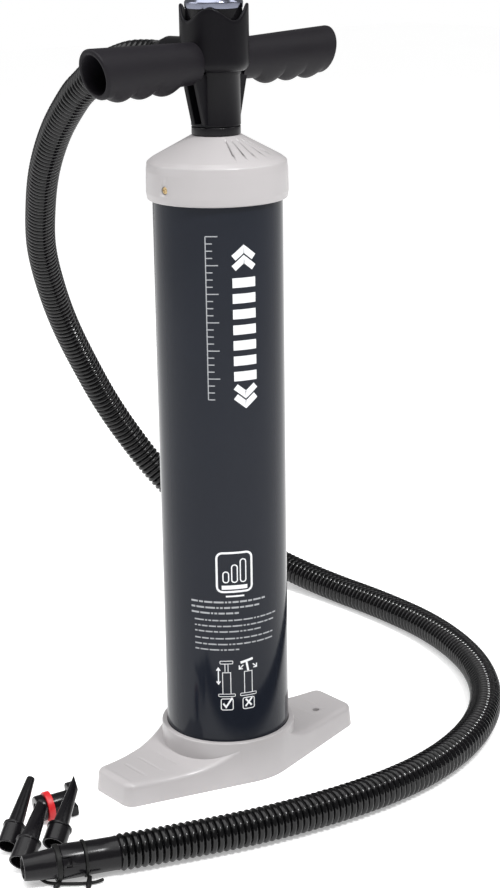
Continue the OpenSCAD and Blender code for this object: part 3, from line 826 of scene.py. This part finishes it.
def print_pump_sign(bm, x, tilted):
    """Small line drawing of the pump, above a box with a tick or a cross."""
    stroke(bm, [(x - 2.9, 69), (x - 2.9, 85.5), (x + 2.9, 85.5), (x + 2.9, 69)], 0.5)
    stroke(bm, frame_line(x - 6, 67, x + 6, 68.9, 0.6), 0.45, closed=True)
    if tilted:
        stroke(bm, [(x, 86), (x - 1.2, 92.6)], 1.5)
        stroke(bm, [(x - 5.6, 92.6), (x + 3.6, 94.8)], 1.8)
        for side in (-1, 1):
            stroke(bm, [(x + side * 3.6, 90.6), (x + side * 6.2, 88.2)], 0.8)
            stroke(bm, [(x + side * 6.6, 90.6), (x + side * 6.6, 87.8), (x + side * 4, 87.8)], 0.8)
    else:
        stroke(bm, [(x - 1.1, 86), (x - 1.1, 92)], 0.45)
        stroke(bm, [(x + 1.1, 86), (x + 1.1, 92)], 0.45)
        stroke(bm, frame_line(x - 4.6, 92.2, x + 4.6, 94.4, 0.6), 0.45, closed=True)
        stroke(bm, [(x - 5.9, 78), (x - 5.9, 88)], 0.8)
        for tip, foot in ((89, 87), (76.8, 78.8)):
            stroke(bm, [(x - 7.2, foot), (x - 5.9, tip), (x - 4.6, foot)], 0.9)
    stroke(bm, frame_line(x - 4.3, 56.6, x + 4.3, 65.2, 1.3), 0.6, closed=True)
    if tilted:
        stroke(bm, [(x - 2.4, 58.4), (x + 2.6, 64.6)], 1.3)
        stroke(bm, [(x - 2.2, 64.2), (x + 2.2, 58.8)], 1.3)
    else:
        stroke(bm, [(x - 2.8, 61.6), (x - 0.8, 58.8), (x + 3.8, 66)], 1.3)


def make_print():
    """Generic marks where the barrel is printed, in a bold and a pale ink."""
    bold = bmesh.new()
    print_level_mark(bold)
    print_badge(bold)
    print_pump_sign(bold, -0.4, False)
    print_pump_sign(bold, 15.4, True)
    make("barrel_print", bold, PRINT, "base")
    fine = bmesh.new()
    print_scale(fine)
    print_lines(fine)
    make("barrel_small_print", fine, FAINT_PRINT, "base")


make_print()


# ---------------------------------------------------------------- handle

NECK_R = 17
CROWN_R = 23.4
LOBE_TURN = math.radians(-1.5)
LOBE_MIDDLE, LOBE_HEIGHT = 4.9, 4.7


def crown_edge(angle):
    """Height of the crown's wavy rim, with four lobes."""
    wave = -math.cos(4 * (angle - LOBE_TURN))
    # The lobes over the two sides stand a little higher than the front and back ones
    spread = -1.05 * math.cos(2 * (angle - LOBE_TURN - math.radians(45))) * (1 + wave) / 2
    return CROWN_TOP - LOBE_MIDDLE + LOBE_HEIGHT * wave + spread


def make_crown():
    """Cup with a wavy rim that holds the gauge."""
    bm = bmesh.new()
    steps = 192
    z0 = CROWN_Z
    angles = [2 * math.pi * k / steps for k in range(steps)]
    outside = [(17.5, z0 - 0.1), (20.4, z0), (21.4, z0 + 0.7), (22.6, z0 + 2.4), (23.2, z0 + 3.9),
               (CROWN_R, z0 + 5.2)]
    loops = [circle(r, z, steps) for r, z in outside]
    for k_up in range(1, 15):
        t = k_up / 14
        loops.append([
            (CROWN_R * math.cos(a), CROWN_R * math.sin(a), z0 + 5.2 + (crown_edge(a) - 0.6 - z0 - 5.2) * t)
            for a in angles])
    for turn in (30, 60, 90, 120, 150, 180):
        c, s = math.cos(math.radians(turn)), math.sin(math.radians(turn))
        loops.append([
            ((22.4 + c) * math.cos(a), (22.4 + c) * math.sin(a), crown_edge(a) - 0.6 + 0.8 * s)
            for a in angles])
    floor = z0 + 13.5
    loops += [circle(21.3, floor, steps), circle(0.5, floor, steps)]
    skin(bm, loops, end=True)
    return bm


def make_neck(bm):
    """Front and back shells of the neck, the tube between them and two fins at each side."""
    half_arc = math.radians(79.8)
    steps = 32
    for sign in (-1, 1):
        outer, inner = [], []
        for k in range(steps + 1):
            a = math.radians(90) * sign - half_arc + 2 * half_arc * k / steps
            outer.append((NECK_R * math.cos(a), NECK_R * math.sin(a)))
            inner.append((12.3 * math.cos(a), 12.3 * math.sin(a)))
        ring = outer + inner[::-1]
        heights = [(NECK_Z, 0.985), (NECK_Z + 0.6, 1.0), (NECK_Z + 1.6, 1.0), (NECK_Z + 33.6, 1.0),
                   (NECK_Z + 34.3, 1.035), (CROWN_Z + 1, 1.035)]
        loops = [[(x * f, y * f, z) for x, y in ring] for z, f in heights]
        skin(bm, [[turned() @ Vector(p) for p in loop] for loop in loops], True, True)
    lathe(bm, [(12.5, NECK_Z + 1), (12.5, CROWN_Z + 1), (11.2, CROWN_Z + 1), (11.2, NECK_Z + 1),
               (12.5, NECK_Z + 1)], 64)
    for sign_x in (-1, 1):
        for sign_y in (-1, 1):
            add_fin(bm, sign_x, sign_y)
    for z_low, z_high in ((NECK_Z, NECK_Z + 2.0), (CROWN_Z - 2.2, CROWN_Z + 1)):
        lathe(bm, rounded([(11.2, z_low), (NECK_R, z_low, 0.4), (NECK_R, z_high, 0.4),
                           (11.2, z_high)], 3), 96)


def add_fin(bm, sign_x, sign_y):
    """One of the four fins, which widen from the neck's foot up into the grips."""
    loops = []
    for y, inset in ((3.0, 0.5), (3.45, 0.0), (5.85, 0.0), (6.3, 0.5)):
        outline = [(12, NECK_Z + 1.5), (18.5 - inset, NECK_Z + 1.5), (26.5 - inset, NECK_Z + 31),
                   (27 - inset, NECK_Z + 33), (12, CROWN_Z + 0.5)]
        loops.append([turned() @ Vector((sign_x * x, sign_y * y, z)) for x, z in outline])
    skin(bm, loops, True, True)


def make_port(bm):
    """Socket for the hose at the back of the handle."""
    part = bmesh.new()
    lathe(part, rounded([(11.1, 48.9), (12.2, 49, 0.4), (15.3, 41, 1.0), (15.3, 12)], 4), 64)
    part.transform(toward_port())
    add_mesh(bm, part)


def make_handle_core():
    """Crown, neck and port in one piece."""
    bm = make_crown()
    make_neck(bm)
    make_port(bm)
    core = make("handle_crown", bm, CROWN, "handle", ["handle_core"], sharp=42)


BUMPS = {-1: (51.8, 74.6, 97.4), 1: (54, 78, 102)}
GRIP_REACH = {-1: GRIP_END - 0.8, 1: GRIP_END + 2.2}
BUMP_R, BUMP_LOW = 21, 18.9
BORE_SIZE = (12.6, 9.8)
LIP = 2.2
GRIP_ROOT = 22
ROOT_R = 23.2
SLANT = math.tan(math.radians(16))


def grip_size(u):
    """Half height and half width of a grip at a distance from the barrel's axis."""
    t = min(max((u - GRIP_ROOT) / (GRIP_END - GRIP_ROOT), 0), 1)
    return 14.2 + 2.4 * t, 9.7 + 2.9 * t


def grip_bottom(u, bumps):
    """How far down the grip reaches, with its finger bumps."""
    lows = [grip_size(u)[0] - 0.4]
    for bump in bumps:
        if abs(u - bump) < BUMP_R:
            lows.append(BUMP_LOW - BUMP_R + math.sqrt(BUMP_R ** 2 - (u - bump) ** 2))
    return max(lows)


def lip_loop(last, share, reach, bore):
    """Ring of the lip, some share of the way from the outside in to the bore."""
    loop = []
    for k, (_, y, z) in enumerate(last):
        a = 2 * math.pi * k / len(last)
        yy = y + (bore[1] * math.cos(a) - y) * share
        zz = z + (bore[0] * math.sin(a) - z) * share
        loop.append((reach + SLANT * zz, yy, zz))
    return loop


def grip_loops(side, angles):
    """Rings from the crown out to the lip, then back down the bore."""
    end = GRIP_REACH[side]
    tall, wide = grip_size(GRIP_ROOT)
    loops = []
    for share in (0.02, 0.35, 0.7):
        ring = [(wide * share * math.cos(a), tall * share * math.sin(a)) for a in angles]
        loops.append([(math.sqrt(ROOT_R ** 2 - y * y), y, z) for y, z in ring])
    sections = 160
    for j in range(sections + 1):
        u = GRIP_ROOT + (end - LIP - GRIP_ROOT) * j / sections
        tall, wide = grip_size(u)
        swell = grip_bottom(u, BUMPS[side]) / tall - 1
        loop = []
        for a in angles:
            y, z = wide * math.cos(a), tall * math.sin(a)
            if z < 0:
                z *= 1 + swell * math.sin(a) ** 2
            root = math.sqrt(ROOT_R ** 2 - y * y)
            lean = SLANT * z * min(max((u - 60) / (end - 60), 0), 1) ** 1.5
            share = (u - GRIP_ROOT) / (end - GRIP_ROOT)
            loop.append((u + (root - GRIP_ROOT) * (1 - share) + lean, y, z))
        loops.append(loop)
    last = loops[-1]
    tall, wide = BORE_SIZE
    for share, forward in ((0.04, 0.8), (0.16, 1.5), (0.36, 2.0), (0.6, 2.2), (0.85, 2.0), (1.0, 1.3)):
        loops.append(lip_loop(last, share, end - LIP + forward, BORE_SIZE))
    for depth, shrink in ((end - 8, 0), (44, 1.2), (42, 3), (42, 9)):
        loops.append([
            (depth + (SLANT * tall * math.sin(a) if depth > 60 else 0),
             (wide - shrink) * math.cos(a), (tall - shrink) * math.sin(a)) for a in angles])
    return loops


def make_grip(name, node, side):
    """An oval grip with three finger bumps below and an open, slanting end."""
    bm = bmesh.new()
    skin(bm, grip_loops(side, [2 * math.pi * k / 72 for k in range(72)]), True, True)
    place = turned() @ raised(GRIP_Z) @ Matrix.Diagonal((side, 1, 1, 1))
    grip = make(name, bm, HANDLE, "handle", [node], place, sharp=48)


make_handle_core()
make_grip("grip_near", "left_grip", -1)
make_grip("grip_far", "right_grip", 1)


# ---------------------------------------------------------------- gauge

def make_gauge():
    """Bezel, window and marks of the pressure gauge."""
    z = GAUGE_Z
    bm = bmesh.new()
    lathe(bm, rounded([(18.05, z), (19.6, z, 0.4), (19.8, z + 4.2, 1.6), (18.4, z + 6.2, 0.6),
                       (17.2, z + 6.2, 0.3), (16.6, z + 5.6), (16.6, z + 5.05), (18.05, z + 5),
                       (18.05, z)], 6), 128)
    make("gauge_rim", bm, CHROME, "handle", ["gauge_bezel"], sharp=50)
    bm = bmesh.new()
    lathe(bm, rounded([(0.01, z + 3.5), (17.8, z + 3.5), (17.9, z + 4.6, 0.2), (14, z + 5.2), (7, z + 5.7),
                       (0.01, z + 5.9)], 4), 96)
    lens = make("gauge_window", bm, LENS, "handle", ["gauge_lens"], sharp=50)
    make_dial_marks()


def make_dial_marks():
    """Plain scale on the dial, with every third mark longer."""
    z = high("gauge_dial").z
    bm = bmesh.new()
    for k in range(28):
        turn = math.radians(225 - 10 * k)
        inner = 12.2 if k % 3 == 0 else 13.6
        place = turned() @ Matrix.Rotation(turn, 4, "Z")
        box_mesh(bm, (inner, -0.22, z), (15.6, 0.22, z + 0.12), place)
    make("dial_marks", bm, INK, "handle")


make_gauge()


# ---------------------------------------------------------------- loose adapters

def leaning(p, turn, lift=28):
    """Place for a part drawn about Z that lies turned about the vertical, with its tip lifted."""
    return Matrix.Translation(p) @ turned_deg(turn) @ Matrix.Rotation(math.radians(90 - lift), 4, "Y")


def make_adapter(name, node, place, outside, inside):
    """Hollow adapter, from its outside and inside lines."""
    bm = bmesh.new()
    lathe(bm, rounded(outside + inside + [outside[0]], 4), 56)
    return make(name, bm, BLACK, "base", [node], place, sharp=40)


def cut_slantwise(adapter, place, height, tilt):
    """Cuts the tip off at a slant."""
    block = bmesh.new()
    box_mesh(block, (-20, -20, 0), (20, 20, 20),
             raised(height) @ Matrix.Rotation(math.radians(tilt), 4, "X"))
    cut(adapter, make("tip_cutter", block, BLACK, None, (), place))


def make_adapters():
    """Three cone shaped adapters, two of them with a slanting tip."""
    place = leaning((-209.1, -22.6, 6.8), 37)
    make_adapter("adapter_cone", "cone_adapter", place,
                 [(6.9, 0), (7.3, 0.3, 0.3), (7.2, 14.8, 0.3), (7.8, 15.4, 0.5), (7.8, 17.2, 0.7),
                  (6.4, 17.9, 0.3), (5.5, 18.0, 0.4), (2.9, 56.2, 0.9)],
                 [(1.6, 56.4, 0.4), (3.8, 18), (5.8, 15.8), (6.0, 0.2, 0.3)])
    place = leaning((-215.3, -48.9, 7.7), 35)
    wide = make_adapter("adapter_wide", "wide_adapter", place,
                        [(7.9, 0), (8.3, 0.3, 0.3), (8.0, 15.2, 0.3), (8.7, 15.8, 0.5), (8.7, 17.4, 0.7),
                         (7.3, 18.1, 0.3), (6.3, 18.2, 0.4), (4.0, 50, 0.4)],
                        [(2.6, 50, 0.3), (4.4, 19), (6.6, 16), (6.9, 0.2, 0.3)])
    cut_slantwise(wide, place, 46, 20)
    place = leaning((-185, -42.4, 7.6), 35.7)
    spike = make_adapter("adapter_spike", "spike_adapter", place,
                         [(7.8, 0), (8.1, 0.3, 0.3), (8.0, 12.2, 0.3), (8.7, 12.8, 0.5), (8.7, 14.4, 0.7),
                          (7.1, 15.2, 0.3), (5.6, 15.3, 0.4), (2.4, 60, 0.4)],
                         [(1.3, 60, 0.3), (3.8, 15), (6.3, 13), (6.5, 0.2, 0.3)])
    cut_slantwise(spike, place, 52, 60)


# Sections of a wing, from the body out: distance from the axis, half width, lower and upper height
WING = ((4.4, 4.0, 14.4, 20.4), (9.8, 4.0, 14.4, 20.4), (11.5, 3.8, 14.9, 20.0), (12.0, 3.2, 15.6, 19.4))


def make_valve_adapter():
    """Adapter with a flange, two wings and a red washer."""
    place = leaning((-160, 1.8, 10.8), -14.5, 4.4)
    bm = bmesh.new()
    lathe(bm, rounded([(4.5, -9), (9.0, -9, 0.8), (9.3, -7), (9.3, -3.1, 0.5), (7.4, -2.9), (7.35, 3, 0.3),
                       (7.3, 15.2, 0.5), (4.5, 15.4), (4.5, -9)], 3), 56)
    for side in (-1, 1):
        wing = bmesh.new()
        loops = []
        for x, half, low_z, high_z in WING:
            corners = ((-half, low_z), (half, low_z), (half, high_z), (-half, high_z))
            loops.append([(side * x, y, z) for y, z in corners])
        skin(wing, loops, True, True)
        add_mesh(bm, wing)
    make("adapter_valve", bm, BLACK, "base", ["valve_adapter"], place)
    bm = bmesh.new()
    lathe(bm, rounded([(7.45, -2.3), (10.3, -2.3, 0.6), (10.3, 2.3, 0.6), (7.45, 2.3), (7.45, -2.3)], 3), 72)
    make("adapter_washer", bm, WASHER_RED, "base", ["valve_washer"], place)


make_adapters()
make_valve_adapter()


# ---------------------------------------------------------------- CAD nodes that stay

KEEP = {
    "barrel": SLATE, "base_gasket": RUBBER, "base_valve_disc": VALVE_RED, "base_valve_pin": BLACK,
    "cap_gasket": RUBBER, "cap_valve_plate": BLACK, "cap_valve_ring": VALVE_RED, "guide_nut": BLACK,
    "rod_seal": RUBBER, "piston_rod": ROD, "piston_body": BLACK, "piston_cover": BLACK,
    "piston_seal_lower": RUBBER, "piston_seal_upper": RUBBER, "piston_valve_disc": VALVE_RED,
    "piston_valve_ring": VALVE_RED, "piston_screws": STEEL, "stroke_bumper": RUBBER, "gauge_case": BLACK,
    "gauge_tube": BRASS, "gauge_dial": DIAL, "gauge_needle": NEEDLE,
}
for node, material in KEEP.items():
    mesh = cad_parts[node].data
    mesh.materials.clear()
    mesh.materials.append(material)


# ---------------------------------------------------------------- stage and light

def make_stage():
    """A pale floor with a little light of its own, as under a white sweep."""
    bm = bmesh.new()
    box_mesh(bm, (-6000, -6000, -60), (6000, 6000, -0.3))
    floor_paint, shader = principled("floor_paint", (0.90, 0.90, 0.90), 0.9,
                                     Emission_Color=(1, 1, 1, 1), Emission_Strength=0.36)
    cloud = add_noise(floor_paint, 3)
    vary(floor_paint, shader, "Roughness", cloud, 0.85, 0.95)
    floor = make("floor", bm, floor_paint, None)


def make_sun():
    """Broad even light from high on the camera's left, so that the floor stays white far out."""
    data = bpy.data.lights.new("broad_sun", "SUN")
    data.energy = 1.7
    data.angle = math.radians(70)
    sun = bpy.data.objects.new("broad_sun", data)
    sun.rotation_euler = Vector((-0.40, -0.05, 1.0)).to_track_quat("Z", "Y").to_euler()
    bpy.context.scene.collection.objects.link(sun)


AIM = Vector((0, 0, 0.25))


def area_light(name, bearing, distance, height, width, tall, power):
    """A softbox at a bearing round the pump, counted from the camera's side towards its left."""
    front = Vector((CAMERA_AT.x, CAMERA_AT.y, 0)).normalized()
    left = Vector((front.y, -front.x, 0))
    turn = math.radians(bearing)
    place = (front * math.cos(turn) + left * math.sin(turn)) * distance
    place.z = height
    data = bpy.data.lights.new(name, "AREA")
    data.shape = "RECTANGLE"
    data.size, data.size_y = width, tall
    data.energy = power
    lamp = bpy.data.objects.new(name, data)
    lamp.location = place
    lamp.rotation_euler = (AIM - place).to_track_quat("-Z", "Y").to_euler()
    lamp.visible_camera = False
    bpy.context.scene.collection.objects.link(lamp)


def make_world():
    """Dim white light from all round, while the camera itself sees a plain white background."""
    world = bpy.data.worlds.new("studio")
    world.use_nodes = True
    nodes, links = world.node_tree.nodes, world.node_tree.links
    seen = nodes["Background"]
    seen.inputs["Color"].default_value = (1, 1, 1, 1)
    seen.inputs["Strength"].default_value = 1.0
    fill = nodes.new("ShaderNodeBackground")
    fill.inputs["Color"].default_value = (1, 1, 1, 1)
    fill.inputs["Strength"].default_value = 0.22
    ray = nodes.new("ShaderNodeLightPath")
    mix = nodes.new("ShaderNodeMixShader")
    links.new(ray.outputs["Is Camera Ray"], mix.inputs["Fac"])
    links.new(fill.outputs["Background"], mix.inputs[1])
    links.new(seen.outputs["Background"], mix.inputs[2])
    links.new(mix.outputs["Shader"], nodes["World Output"].inputs["Surface"])
    bpy.context.scene.world = world


make_stage()
make_world()
make_sun()
area_light("softbox_left", 88, 1.5, 1.0, 1.2, 1.1, 8)
area_light("softbox_right", -100, 1.1, 1.2, 0.4, 0.8, 2.5)
area_light("key", -37, 0.85, 1.45, 0.24, 0.24, 15)
area_light("overhead", 60, 0.5, 2.3, 1.6, 1.6, 9)
bpy.context.scene.view_settings.view_transform = "Standard"
